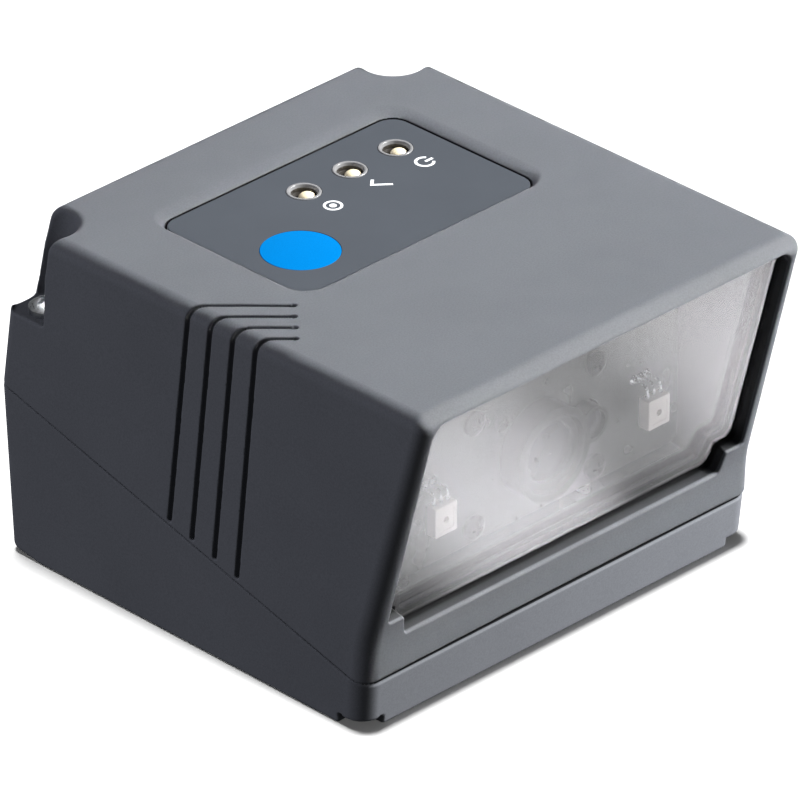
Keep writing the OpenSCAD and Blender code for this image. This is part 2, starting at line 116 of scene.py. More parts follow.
def window_card():
    """White card lying in front, which only the window mirrors: two bright fields with a gap between."""
    o = area("window_card", (0.026, -0.038, 0.0006), (0.026, -0.038, 1.0), (0.09, 0.028), 0.041, (1.0, 0.98, 1.03))
    o.visible_camera = False
    o.data.cycles.use_multiple_importance_sampling = False
    t = o.data
    t.use_nodes = True
    t = t.node_tree
    em = next(n for n in t.nodes if n.type == "EMISSION")
    geo = t.nodes.new("ShaderNodeNewGeometry")
    xyz = t.nodes.new("ShaderNodeSeparateXYZ")
    t.links.new(geo.outputs["Position"], xyz.inputs["Vector"])

    def ease(axis, lo, hi, a, b):
        r = t.nodes.new("ShaderNodeMapRange")
        r.interpolation_type = "SMOOTHSTEP"
        for k, v in (("From Min", lo * MM), ("From Max", hi * MM), ("To Min", a), ("To Max", b)):
            r.inputs[k].default_value = v
        t.links.new(xyz.outputs[axis], r.inputs["Value"])
        return r.outputs["Result"]

    def join(a, b, how):
        m = t.nodes.new("ShaderNodeMath")
        m.operation = how
        t.links.new(a, m.inputs[0])
        t.links.new(b, m.inputs[1])
        return m.outputs["Value"]

    left = join(ease("X", -12, 4, 0.0, 1.0), ease("X", 15, 25, 1.0, 0.0), "MULTIPLY")
    left = join(left, ease("Y", -50, -36, 0.82, 1.0), "MULTIPLY")
    rest = ease("X", 31, 48, 0.0, 1.0)
    foot = join(ease("Y", -36, -30, 0.0, 0.25), ease("X", 22, 30, 0.0, 1.0), "MULTIPLY")
    rest = join(rest, foot, "ADD")
    t.links.new(join(left, rest, "ADD"), em.inputs["Strength"])
    return o


card = window_card()

# ---------------------------------------------------------------- mesh helpers


def new_object(name, verts, faces, body="housing", mats=(), smooth=True, face_mats=None):
    me = bpy.data.meshes.new(name)
    me.from_pydata([tuple(v) for v in verts], [], [tuple(f) for f in faces])
    me.validate()
    if smooth:
        me.shade_smooth()
    for m in mats:
        me.materials.append(m)
    if face_mats is not None:
        me.polygons.foreach_set("material_index", face_mats)
    me.update()
    o = bpy.data.objects.new(name, me)
    scene.collection.objects.link(o)
    if body:
        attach(o, body)
    return o


def by_angle(o, degrees=35):
    """Smooth shading that keeps the edges sharper than this angle."""
    me = o.data
    bm = bmesh.new()
    bm.from_mesh(me)
    lim = math.radians(degrees)
    for f in bm.faces:
        f.smooth = True
    for e in bm.edges:
        e.smooth = len(e.link_faces) != 2 or e.calc_face_angle(0.0) < lim
    bm.to_mesh(me)
    bm.free()
    me.update()


def rounded(pts, rad, n=6, closed=True):
    """A line of points with its corners turned into arcs."""
    out = []
    m = len(pts)
    for i in range(m):
        r = rad[i] if hasattr(rad, "__len__") else rad
        b = np.array(pts[i], float)
        if r <= 0 or (not closed and i in (0, m - 1)):
            out.append(tuple(b))
            continue
        u, v = np.array(pts[i - 1], float) - b, np.array(pts[(i + 1) % m], float) - b
        u, v = u / np.linalg.norm(u), v / np.linalg.norm(v)
        half = math.acos(max(-1, min(1, float(u @ v)))) / 2
        mid = b + (u + v) / np.linalg.norm(u + v) * (r / math.sin(half))
        s, e = b + u * (r / math.tan(half)) - mid, b + v * (r / math.tan(half)) - mid
        a0 = math.atan2(s[1], s[0])
        turn = (math.atan2(e[1], e[0]) - a0 + math.pi) % (2 * math.pi) - math.pi
        for k in range(n + 1):
            a = a0 + turn * k / n
            out.append((mid[0] + r * math.cos(a), mid[1] + r * math.sin(a)))
    return out


def circle(x, y, r, n=64):
    return [(x + r * math.cos(2 * math.pi * k / n), y + r * math.sin(2 * math.pi * k / n)) for k in range(n)]


class Build:
    """Collects points and faces in millimetres, with a material number for each face."""

    def __init__(self):
        self.v, self.f, self.m = [], [], []

    def points(self, pts):
        k = len(self.v)
        self.v += [tuple(float(c) for c in p) for p in pts]
        return list(range(k, len(self.v)))

    def face(self, ids, m=0):
        self.f.append(tuple(ids))
        self.m.append(m)

    def skin(self, a, b, m=0, closed=True):
        """Quads between two rings of the same length."""
        n = len(a)
        for k in range(n if closed else n - 1):
            j = (k + 1) % n
            self.face((a[k], a[j], b[j], b[k]), m)

    def rings(self, rings, m=0):
        ids = [self.points(r) for r in rings]
        for k, (a, b) in enumerate(zip(ids, ids[1:])):
            self.skin(a, b, m[k] if hasattr(m, "__len__") else m)
        return ids

    def turned(self, profile, at, n=64, m=0, turn=None):
        """A profile of (radius, height) turned round an upright axis; turn maps points afterwards."""
        last = None
        for k, (r, z) in enumerate(profile):
            mk = m[k - 1] if hasattr(m, "__len__") else m
            ring = [(0.0, 0.0, z)] if r < 1e-6 else [(r * math.cos(2 * math.pi * i / n), r * math.sin(2 * math.pi * i / n), z) for i in range(n)]
            if turn:
                ring = [turn(p) for p in ring]
            ring = [(p[0] + at[0], p[1] + at[1], p[2] + at[2]) for p in ring]
            ids = self.points(ring)
            if last is not None:
                if len(last) == 1 and len(ids) > 1:
                    for i in range(n):
                        self.face((last[0], ids[(i + 1) % n], ids[i]), mk)
                elif len(ids) == 1 and len(last) > 1:
                    for i in range(n):
                        self.face((last[i], last[(i + 1) % n], ids[0]), mk)
                elif len(ids) > 1:
                    self.skin(last, ids, mk)
            last = ids

    def flat(self, loops, m=0, want=(0, 0, 1)):
        """A flat field between loops of point numbers: the first is its outline, the others are holes."""
        bm = bmesh.new()
        back = {}
        edges = []
        for loop in loops:
            vs = []
            for i in loop:
                q = bm.verts.new(self.v[i])
                back[q] = i
                vs.append(q)
            for k in range(len(vs)):
                edges.append(bm.edges.new((vs[k], vs[(k + 1) % len(vs)])))
        bmesh.ops.triangle_fill(bm, edges=edges, use_beauty=True, normal=want)
        w = Vector(want)
        for f in bm.faces:
            f.normal_update()
            ids = [back[q] for q in f.verts]
            self.face(ids if f.normal.dot(w) > 0 else ids[::-1], m)
        bm.free()

    def tube(self, path, r, n=10, m=0):
        """A round bar along a line of points, with closed ends."""
        p = [Vector(q) for q in path]
        rings = []
        side = None
        for k in range(len(p)):
            d = (p[min(k + 1, len(p) - 1)] - p[max(k - 1, 0)]).normalized()
            if side is None:
                side = d.orthogonal().normalized()
            side = (side - d * side.dot(d)).normalized()
            up2 = d.cross(side)
            rings.append([p[k] + (side * math.cos(2 * math.pi * i / n) + up2 * math.sin(2 * math.pi * i / n)) * r for i in range(n)])
        ids = self.rings(rings, m)
        self.face(ids[0][::-1], m)
        self.face(ids[-1], m)

    def done(self, name, body, mats, angle=35, replaces=()):
        o = new_object(name, [((x) * MM, (y + SY) * MM, z * MM) for x, y, z in self.v], self.f, body, mats, True, self.m)
        bm = bmesh.new()
        bm.from_mesh(o.data)
        bmesh.ops.remove_doubles(bm, verts=bm.verts, dist=1e-7)
        bmesh.ops.recalc_face_normals(bm, faces=bm.faces)
        bm.to_mesh(o.data)
        bm.free()
        by_angle(o, angle)
        if replaces:
            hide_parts(*replaces)
        return o


# ---------------------------------------------------------------- shells as distance fields
# Distances in millimetres, negative inside. Arguments broadcast, so a grid is three thin arrays.


def rmax(a, b, r):
    """Both at once, with the edge between them rounded."""
    u, v = np.maximum(a + r, 0), np.maximum(b + r, 0)
    return np.minimum(np.maximum(a, b), -r) + np.sqrt(u * u + v * v)


def rmin(a, b, r):
    """Either, with the corner between them filled."""
    u, v = np.maximum(r - a, 0), np.maximum(r - b, 0)
    return np.maximum(np.minimum(a, b), r) - np.sqrt(u * u + v * v)


def ext(a, b):
    return np.minimum(np.maximum(a, b), 0) + np.sqrt(np.maximum(a, 0) ** 2 + np.maximum(b, 0) ** 2)


def wedge(a, b, c):
    """Distance to where two half spaces meet; c is the cosine between their normals."""
    edge = np.sqrt(np.maximum(a * a + b * b - 2 * a * b * c, 0) / (1 - c * c))
    out = np.where((b > 0) & (a - c * b <= 0), b, edge)
    out = np.where((a > 0) & (b - c * a <= 0), a, out)
    return np.where((a <= 0) & (b <= 0), np.maximum(a, b), out)


def soft_min(a, b, k):
    h = np.maximum(k - np.abs(a - b), 0) / k
    return np.minimum(a, b) - h * h * k / 4


def rrect2(x, y, hx, hy, r):
    qx, qy = np.abs(x) - hx + r, np.abs(y) - hy + r
    return ext(qx, qy) - r


def seg2(px, py, a, b):
    """Distance in a plane to the line from a to b."""
    dx, dy = b[0] - a[0], b[1] - a[1]
    t = np.clip(((px - a[0]) * dx + (py - a[1]) * dy) / (dx * dx + dy * dy), 0, 1)
    return np.sqrt((px - a[0] - t * dx) ** 2 + (py - a[1] - t * dy) ** 2)


H = 42.4
LEAN = 8.1 / 31.3
CL = 1 / math.sqrt(1 + LEAN * LEAN)
SL = LEAN * CL
SEAM = 15.7 / 58.1
CS = 1 / math.sqrt(1 + SEAM * SEAM)


def seam_z(y):
    return 5.9 + SEAM * (y + 28.7)


def cover_form(x, y, z, inset=0.0, top_in=0.0):
    r = np.where(y < 0, np.clip(1.7 + (40.7 - z) * (0.5 / 29.6), 1.7, 2.5), np.clip(1.7 - (40.7 - z) * (0.4 / 29.6), 1.3, 1.7))
    if inset:
        r = np.maximum(r - inset, 0.6)
    side = (np.abs(x) - (30 + 0.0272 * (H - z))) * 0.9996 + inset + r
    lean = (-37.1 + LEAN * (H - z) - y) * CL + inset
    chin = (-29.0 + 0.055 * (11.1 - z) - y) * 0.9985 + inset
    front = soft_min(lean, chin, 0.35) + r
    rear = (y - (27.3 + 0.10 * (H - z))) * 0.995 + inset + r
    top = z - (H - top_in) + r
    w = wedge(top, front, -SL)
    w = ext(w, rear)
    return ext(w, side) - r


def face_v(z):
    return (z - H) / CL


def on_front(y, z):
    """Up the leaning face, and out of it."""
    return (y + 37.1) * -SL + (z - H) * CL, (y + 37.1) * -CL + (z - H) * -SL


VT, VS, VL = face_v(40.9), face_v(13.5), face_v(10.9)


def window2(x, v, g=0.0):
    """Outline of the window opening on the leaning face."""
    ax = np.abs(x)
    mid, half = (VT + VS) / 2, (VT - VS) / 2
    r = np.where(v > mid, 1.6, 0.75)
    a = ext(ax - 28.2 + r, np.abs(v - mid) - half + r) - r
    t = (v - VL) / (VS - VL)
    b = rmax((ax - (24.95 + 0.65 * t)) * 0.972, VL - v, 0.45)
    b = np.maximum(b, v - (VS + 4))
    return rmin(a, b, 0.3) + g


GROOVES = []
for i in range(4):
    y0 = 1.95 - 3.55 * i
    GROOVES.append((y0, seam_z(y0) + 0.9, -0.7 - 3.5 * i, 7.0 - 1.69 * i))
FX = 30 + 0.0272 * 1.7 - 1.7  # where the flat of the top begins
BEND = 0.75  # how far a groove swings forward as it rolls over the edge


def groove_paths(x, y, z):
    """Distance, measured along the skin, to the nearest of the grooves."""
    ax = np.abs(x)
    best = None
    for y0, z0, y1, dx in GROOVES:
        ya = y1 + BEND * 0.45
        yb = ya - BEND
        side = seg2(y, z, (y0, z0), (ya, 40.7))
        th = np.clip(np.arctan2(np.maximum(z - 40.7, 0), np.maximum(ax - FX, 1e-6)), 0, math.pi / 2)
        s = th / (math.pi / 2)
        roll = np.abs(y - (ya - BEND * s * s)) * (1 - 0.25 * s)
        top = seg2(ax, y, (FX, yb), (FX - dx, yb - dx))
        dot = np.sqrt((ax - (FX - dx)) ** 2 + (y - (yb - dx)) ** 2) - 0.36
        d = np.where(z < 40.7, side - 0.33, np.where(ax > FX, roll - 0.33 + 0.09 * s, np.minimum(top - 0.24, dot)))
        best = d if best is None else np.minimum(best, d)
    return best


def recess(x, y, z):
    """Recess of the top: wide sloping walls at the back and the right, steep ones at the front and the left."""
    t = np.minimum((H - z) / 0.5, 1)
    return rrect2(x - 0.2775 + 0.3775 * t, y - 4.9 + 0.45 * t, 19.2725 - 0.6025 * t, 12.4 - 0.68 * t, 3.0 - 0.53 * t)


def cover_field(x, y, z):
    out = cover_form(x, y, z)
    v, w = on_front(y, z)
    win = window2(x, v)
    ax = np.abs(x)
    sc2 = np.sqrt((ax - 27.4) ** 2 + (y - 24.9) ** 2)
    hole2 = np.sqrt((ax - 27.3) ** 2 + (y - 24.8) ** 2)
    # hollow
    hollow = cover_form(x, y, z, 2.0, 2.2)
    frame_block = np.maximum(np.maximum(-(w + 5.4), -(win + 1.3)), face_v(9.3) - v)
    hollow = np.maximum(hollow, -frame_block)
    hollow = np.maximum(hollow, 5.25 - sc2)
    for px, py in ((15, 0), (-14.5, 11.5)):
        b2 = np.sqrt((x - px) ** 2 + (y - py) ** 2)
        hollow = np.maximum(hollow, -np.maximum(b2 - 2.1, 37.0 - z))
    # outer skin and what is cut in it
    lip = 0.3 + 0.5 * np.clip((z - 37.5) / 3.5, 0, 1)
    d = rmax(out, -rmax(sc2 - 3.75, 31.1 - z, 0.35), lip)
    # narrow slope along the front edge of the top
    d = rmax(d, (z - 40.7) * 0.8192 - (y + 34.9) * 0.5736 - 1.48, 0.3)
    skin = out
    g = np.maximum(groove_paths(x, y, z), x)  # on the key's side only
    g = rmax(g, -(skin + 0.62), 0.2)
    d = rmax(d, -g, 0.14)
    pocket = recess(x, y, z)
    rise = (recess(x, y, z + 0.01) - pocket) / 0.01
    d = rmax(d, -np.maximum(pocket / np.sqrt(1 + rise * rise), 41.4 - z), 0.2 + 0.2 * np.clip(-rise / 2 - 0.3, 0, 1))
    rim = 0.22
    d = rmax(d, -np.maximum(win, -(w + 3.9)), rim)
    low = np.maximum((seam_z(y) + 0.05 - z) * CS, 6.5 - x * x / 4000 - z)
    d = rmax(d, low, 0.28)
    d = np.maximum(d, -hollow)
    d = np.maximum(d, 1.45 - hole2)
    key2 = np.sqrt((x + 11.35) ** 2 + (y - 0.85) ** 2)
    d = np.maximum(d, -np.maximum(key2 - 4.65, 30 - z))
    for px in (13.0, 5.75, -1.5):
        d = np.maximum(d, -np.maximum(np.sqrt((x - px) ** 2 + (y - 10.2) ** 2) - 2.05, 30 - z))
    return d


def base_form(x, y, z, inset=0.0):
    rf, rb = max(2.5 - inset, 0.5), max(1.4 - inset, 0.5)
    r = np.where(y < 0, rf, rb)
    side = (np.abs(x) - (30.8 + 0.0291 * z - 0.015 * (y + 28.1))) * 0.9995 + inset + r
    front = (-28.1 - 0.088 * z - y) * 0.996 + inset + r
    rear = (y - (28.6 + 0.036 * z)) * 0.999 + inset + r
    return ext(np.maximum(front, rear), side) - r


def base_field(x, y, z):
    ax = np.abs(x)
    out = base_form(x, y, z)
    seam = (z - seam_z(y) + 0.05) * CS
    hollow = np.maximum(base_form(x, y, z, 2.0), 2.4 - z)
    rs = np.sqrt((ax - 27.3) ** 2 + (y - 24.8) ** 2)
    hollow = np.maximum(hollow, 3.2 - rs)
    for py in (-8, 20):
        b2 = np.sqrt((ax - 21) ** 2 + (y - py) ** 2)
        hollow = np.maximum(hollow, -np.maximum(b2 - 2.6, z - 9))
    post = np.sqrt((ax - 14.6) ** 2 + (y + 17) ** 2)
    hollow = np.maximum(hollow, -np.maximum(post - 2.6, z - 13))
    ins = np.sqrt((ax - 14) ** 2 + (np.abs(y - 10) - 10) ** 2)
    hollow = np.maximum(hollow, -np.maximum(ins - 3.7, z - 6.9))
    d = rmax(out, -z, 0.35 + 0.85 * np.clip((y - 23.5) / 4, 0, 1))
    # raised front corners, with a small nick on each side of the left one
    lift = np.maximum(np.maximum(27.5 - ax, y + 24.5), z - 1.0)
    d = rmax(d, -lift, 0.4)
    nick_f = np.maximum(np.sqrt((ax - 27.85) ** 2 + (z - 1.0) ** 2) - 0.34, y + 24.6)
    nick_s = np.maximum(np.sqrt((y + 24.75) ** 2 + (z - 1.0) ** 2) - 0.34, 27.6 - ax)
    d = rmax(d, -np.maximum(np.minimum(nick_f, nick_s), x), 0.12)
    d = rmax(d, seam, 0.2)
    d = np.maximum(d, -hollow)
    d = np.maximum(d, -np.maximum(rs - 1.25, 9 - z))
    d = np.maximum(d, -np.maximum(post - 0.95, 6 - z))
    d = np.maximum(d, -np.maximum(ins - 2.1, z - 5.2))
    gl = np.sqrt(x ** 2 + (z - 15.2) ** 2)
    d = np.maximum(d, -np.maximum(gl - 4.2, 20 - y))
    d = np.maximum(d, -np.maximum(gl - 5.7, 29.13 - y))
    ring = np.maximum(np.maximum(base_form(x, y, z, 0.75), -base_form(x, y, z, 1.35)), -(seam + 0.95))
    return np.maximum(d, -ring)


def gradient(f, p, e=0.03):
    g = np.empty_like(p)
    for k in range(3):
        a, b = p.copy(), p.copy()
        a[:, k] += e
        b[:, k] -= e
        g[:, k] = f(a[:, 0], a[:, 1], a[:, 2]) - f(b[:, 0], b[:, 1], b[:, 2])
    return g / (2 * e)


def settle(f, p, most, rounds=2):
    """Moves points onto the surface along its slope."""
    start = p.copy()
    for _ in range(rounds):
        d = f(p[:, 0], p[:, 1], p[:, 2])
        g = gradient(f, p)
        n2 = np.maximum((g * g).sum(1), 0.2)
        p = p - np.clip(d / n2, -most, most)[:, None] * g
        off = p - start
        far = np.maximum(np.sqrt((off * off).sum(1)) / most, 1)
        p = start + off / far[:, None]
    return p


def skin_mesh(f, xs, ys, zs):
    """Points and four-sided faces of the surface f = 0 over a grid."""
    D = np.empty((len(xs), len(ys), len(zs)), np.float32)
    step = 24
    Y, Z = ys[None, :, None], zs[None, None, :]
    for i in range(0, len(xs), step):
        D[i:i + step] = f(xs[i:i + step, None, None], Y, Z)
    inside = D < 0
    count = np.zeros([n - 1 for n in D.shape], np.uint8)
    for i in (0, 1):
        for j in (0, 1):
            for k in (0, 1):
                count += inside[i:D.shape[0] - 1 + i, j:D.shape[1] - 1 + j, k:D.shape[2] - 1 + k]
    cells = np.argwhere((count > 0) & (count < 8))
    ids = np.full(count.shape, -1, np.int32)
    ids[cells[:, 0], cells[:, 1], cells[:, 2]] = np.arange(len(cells))
    corner = [(i, j, k) for i in (0, 1) for j in (0, 1) for k in (0, 1)]
    val = np.stack([D[cells[:, 0] + i, cells[:, 1] + j, cells[:, 2] + k] for i, j, k in corner], 1)
    acc = np.zeros((len(cells), 3), np.float32)
    num = np.zeros(len(cells), np.float32)
    for a in range(8):
        for b in range(a + 1, 8):
            ca, cb = np.array(corner[a]), np.array(corner[b])
            if np.abs(ca - cb).sum() != 1:
                continue
            va, vb = val[:, a], val[:, b]
            hit = (va < 0) != (vb < 0)
            t = np.where(hit, va / np.where(hit, va - vb, 1), 0)
            acc += np.where(hit[:, None], ca + t[:, None] * (cb - ca), 0)
            num += hit
    loc = acc / num[:, None]
    p = np.empty((len(cells), 3), np.float64)
    for k, axis in enumerate((xs, ys, zs)):
        c = cells[:, k]
        p[:, k] = axis[c] + loc[:, k] * (axis[c + 1] - axis[c])
    quads = []
    for k in range(3):
        u, v = [(1, 2), (2, 0), (0, 1)][k]
        a = [slice(None)] * 3
        b = [slice(None)] * 3
        a[k], b[k] = slice(0, -1), slice(1, None)
        for q in (u, v):
            a[q] = b[q] = slice(1, -1)
        ia, ib = inside[tuple(a)], inside[tuple(b)]
        e = np.argwhere(ia != ib)
        flip = ~ia[e[:, 0], e[:, 1], e[:, 2]]
        e = e.copy()
        e[:, u] += 1
        e[:, v] += 1
        ring = []
        for du, dv in ((-1, -1), (0, -1), (0, 0), (-1, 0)):
            c = e.copy()
            c[:, u] += du
            c[:, v] += dv
            ring.append(ids[c[:, 0], c[:, 1], c[:, 2]])
        ring = np.stack(ring, 1)
        ring[flip] = ring[flip][:, ::-1]
        quads.append(ring)
    return p, np.concatenate(quads)


def fast_mesh(name, p, quads):
    me = bpy.data.meshes.new(name)
    me.vertices.add(len(p))
    me.vertices.foreach_set("co", np.asarray(p, np.float32).ravel())
    n = quads.shape[1]
    me.loops.add(quads.size)
    me.loops.foreach_set("vertex_index", quads.astype(np.int32).ravel())
    me.polygons.add(len(quads))
    me.polygons.foreach_set("loop_start", np.arange(0, quads.size, n, dtype=np.int32))
    me.polygons.foreach_set("loop_total", np.full(len(quads), n, np.int32))
    me.update(calc_edges=True)
    me.validate()
    return me


def shell(name, f, lo, hi, step, most_tris, node, mats, pick):
    axes = [np.arange(lo[k], hi[k] + step, step).astype(np.float32) for k in range(3)]
    p, quads = skin_mesh(f, *axes)
    p = settle(f, p, step * 0.8)
    me = fast_mesh(name + ".dense", p, quads)
    o = bpy.data.objects.new(name, me)
    scene.collection.objects.link(o)
    tris = 2 * len(quads)
    if tris > most_tris:
        m = o.modifiers.new("thin", "DECIMATE")
        m.ratio = most_tris / tris
        dg = bpy.context.evaluated_depsgraph_get()
        thin = bpy.data.meshes.new_from_object(o.evaluated_get(dg))
        o.modifiers.clear()
        o.data = thin
        bpy.data.meshes.remove(me)
        me = thin
    me.name = name
    co = np.empty(len(me.vertices) * 3, np.float32)
    me.vertices.foreach_get("co", co)
    p = settle(f, co.reshape(-1, 3).astype(np.float64), 0.06, 1)
    g = gradient(f, p, 0.05)
    g /= np.maximum(np.sqrt((g * g).sum(1)), 1e-6)[:, None]
    me.vertices.foreach_set("co", ((p + (0, SY, 0)) * MM).astype(np.float32).ravel())
    me.shade_smooth()
    me.update()
    me.normals_split_custom_set_from_vertices([tuple(n) for n in g])
    me.materials.clear()
    for m in mats:
        me.materials.append(m)
    c = np.empty(len(me.polygons) * 3, np.float32)
    me.polygons.foreach_get("center", c)
    c = c.reshape(-1, 3) / MM - (0, SY, 0)
    me.polygons.foreach_set("material_index", pick(c[:, 0], c[:, 1], c[:, 2]).astype(np.int32))
    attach(o, "housing")
    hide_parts(node)
    print("shell", name, tris, "->", sum(len(q.vertices) - 2 for q in me.polygons))
    return o


def pick_cover(x, y, z):
    """0 skin, 1 walls of the window opening, darkened with depth as painted shade, 2 recess of the top, its gap round
    the film blackened as painted shade, 3 inside, near black as painted shade.
    """
    v, out = on_front(y, z)
    which = np.where((out < -0.05) & (out > -4.2) & (window2(x, v) < 0.1), 1, 0)
    which = np.where((z > 41.0) & (z < H - 0.06) & (rrect2(x - 0.2775, y - 4.9, 19.4, 12.6, 3.1) < 0), 2, which)
    far = np.hypot(np.abs(x) - 27.4, y - 24.9) > 5.1
    return np.where((which == 0) & far & (cover_form(x, y, z) < -1.6), 3, which)


def pick_base(x, y, z):
    """0 skin, 1 the top of the front wall, in the parting gap, near black as painted shade."""
    return np.where(((z - seam_z(y) + 0.05) * CS > -0.12) & (base_form(x, y, z) < -0.22) & (y < -20), 1, 0)


# ---------------------------------------------------------------- materials


def start(name):
    m = bpy.data.materials.new(name)
    m.use_nodes = True
    t = m.node_tree
    b = t.nodes["Principled BSDF"]
    tc = t.nodes.new("ShaderNodeTexCoord")
    return m, t, b, tc.outputs["Object"]


def noise(t, co, scale, detail=3, rough=0.5, warp=0.0, stretch=None):
    if stretch:
        mp = t.nodes.new("ShaderNodeMapping")
        mp.inputs["Scale"].default_value = stretch
        t.links.new(co, mp.inputs["Vector"])
        co = mp.outputs["Vector"]
    n = t.nodes.new("ShaderNodeTexNoise")
    n.inputs["Scale"].default_value = scale
    n.inputs["Detail"].default_value = detail
    n.inputs["Roughness"].default_value = rough
    n.inputs["Distortion"].default_value = warp
    t.links.new(co, n.inputs["Vector"])
    return n.outputs["Fac"]


def ramp(t, fac, stops):
    r = t.nodes.new("ShaderNodeValToRGB")
    e = r.color_ramp.elements
    while len(e) < len(stops):
        e.new(0.5)
    for el, (pos, col) in zip(e, stops):
        el.position = pos
        el.color = (*col, 1) if len(col) == 3 else col
    t.links.new(fac, r.inputs["Fac"])
    return r.outputs["Color"]


def remap(t, fac, lo, hi, a=0.0, b=1.0):
    r = t.nodes.new("ShaderNodeMapRange")
    r.inputs["From Min"].default_value = a
    r.inputs["From Max"].default_value = b
    r.inputs["To Min"].default_value = lo
    r.inputs["To Max"].default_value = hi
    t.links.new(fac, r.inputs["Value"])
    return r.outputs["Result"]


def mix(t, fac, a, b, kind="MIX"):
    m = t.nodes.new("ShaderNodeMix")
    m.data_type = "RGBA"
    m.blend_type = kind
    if isinstance(fac, float):
        m.inputs[0].default_value = fac
    else:
        t.links.new(fac, m.inputs[0])
    for s, x in ((6, a), (7, b)):
        if isinstance(x, tuple):
            m.inputs[s].default_value = (*x, 1)
        else:
            t.links.new(x, m.inputs[s])
    return m.outputs[2]


def bump(t, b, height, strength, distance):
    n = t.nodes.new("ShaderNodeBump")
    n.inputs["Strength"].default_value = strength
    n.inputs["Distance"].default_value = distance
    t.links.new(height, n.inputs["Height"])
    t.links.new(n.outputs["Normal"], b.inputs["Normal"])


def shade(c, k):
    return tuple(min(1.0, x * k) for x in c)


def moulded(name, colour, rough=0.5, grain=0.16, depth=0.006, swing=0.06, strength=0.35, specular=0.5, coat=0.0, painted_shade_inward=None, painted_shade_below=None):
    """Moulded plastic: fine even grain, faint cloudiness, small changes of gloss; it can also be darkened as painted
    shade below a height or behind the leaning face.
    """
    m, t, b, co = start(name)
    cloud = noise(t, co, 1 / 0.012, 4, 0.55)
    fine = noise(t, co, 1 / (grain * MM), 3, 0.6)
    c = ramp(t, cloud, [(0.3, shade(colour, 1 - swing)), (0.7, shade(colour, 1 + swing))])
    s = ramp(t, fine, [(0.35, (0.86, 0.86, 0.86)), (0.62, (1.0, 1.0, 1.0))])
    c = mix(t, 1.0, c, s, "MULTIPLY")
    if painted_shade_below:
        # painted shade: blackened below a height, for the gap round the film
        xyz = t.nodes.new("ShaderNodeSeparateXYZ")
        t.links.new(co, xyz.inputs["Vector"])
        c = mix(t, 1.0, c, ramp(t, remap(t, xyz.outputs["Z"], 0.0, 1.0, painted_shade_below * MM - 0.02 * MM, painted_shade_below * MM + 0.02 * MM), [(0.0, (0.06, 0.06, 0.06)), (1.0, (1.0, 1.0, 1.0))]), "MULTIPLY")
    if painted_shade_inward:
        # painted shade: blackened behind the leaning face, from its edge (0) to 1.8 mm down (1)
        dot = t.nodes.new("ShaderNodeVectorMath")
        dot.operation = "DOT_PRODUCT"
        dot.inputs[1].default_value = (0, -CL / MM, -SL / MM)
        t.links.new(co, dot.inputs[0])
        zero = CL * (37.1 - SY) - SL * H
        c = mix(t, 1.0, c, ramp(t, remap(t, dot.outputs["Value"], 0.0, 1.0, zero - 0.05, zero - 1.85), painted_shade_inward), "MULTIPLY")
    t.links.new(c, b.inputs["Base Color"])
    t.links.new(remap(t, noise(t, co, 1 / 0.004, 3), rough - 0.03, rough + 0.03, 0.3, 0.7), b.inputs["Roughness"])
    b.inputs["Specular IOR Level"].default_value = specular
    if coat:
        b.inputs["Coat Weight"].default_value = coat
        b.inputs["Coat Roughness"].default_value = 0.2
    bump(t, b, fine, strength, depth * MM)
    return m


def metal(name, colour, rough=0.25, stretch=(1, 1, 1), tarnish=0.12):
    m, t, b, co = start(name)
    n = noise(t, co, 1 / 0.0012, 4, 0.6)
    line = noise(t, co, 1 / 0.00025, 3, 0.6, 0, stretch)
    c = ramp(t, n, [(0.3, shade(colour, 1 - tarnish)), (0.65, colour)])
    t.links.new(c, b.inputs["Base Color"])
    b.inputs["Metallic"].default_value = 1.0
    t.links.new(remap(t, line, max(rough - 0.08, 0.03), rough + 0.12, 0.3, 0.7), b.inputs["Roughness"])
    bump(t, b, line, 0.25, 0.004 * MM)
    return m


def clear(name, colour, rough=0.02, ior=1.49, uneven=0.03, coat=0.0):
    """Clear plastic or glass, with a trace of surface waviness and dust."""
    m, t, b, co = start(name)
    b.inputs["Transmission Weight"].default_value = 1.0
    b.inputs["IOR"].default_value = ior
    n = noise(t, co, 1 / 0.006, 3, 0.5)
    t.links.new(ramp(t, n, [(0.35, shade(colour, 0.97)), (0.65, colour)]), b.inputs["Base Color"])
    t.links.new(remap(t, noise(t, co, 1 / 0.003, 4, 0.6), rough, rough + uneven, 0.35, 0.7), b.inputs["Roughness"])
    if coat:
        b.inputs["Coat Weight"].default_value = coat
        b.inputs["Coat Roughness"].default_value = 0.33
        b.inputs["Coat IOR"].default_value = 1.5
    return m


def coated(name, colour):
    """Front of a lens: dark, smooth, with the tint of its coating."""
    m, t, b, co = start(name)
    n = noise(t, co, 1 / 0.002, 2)
    t.links.new(ramp(t, n, [(0.3, shade(colour, 0.7)), (0.7, shade(colour, 1.5))]), b.inputs["Base Color"])
    t.links.new(remap(t, n, 0.02, 0.06, 0.3, 0.7), b.inputs["Roughness"])
    b.inputs["Specular IOR Level"].default_value = 0.15
    return m


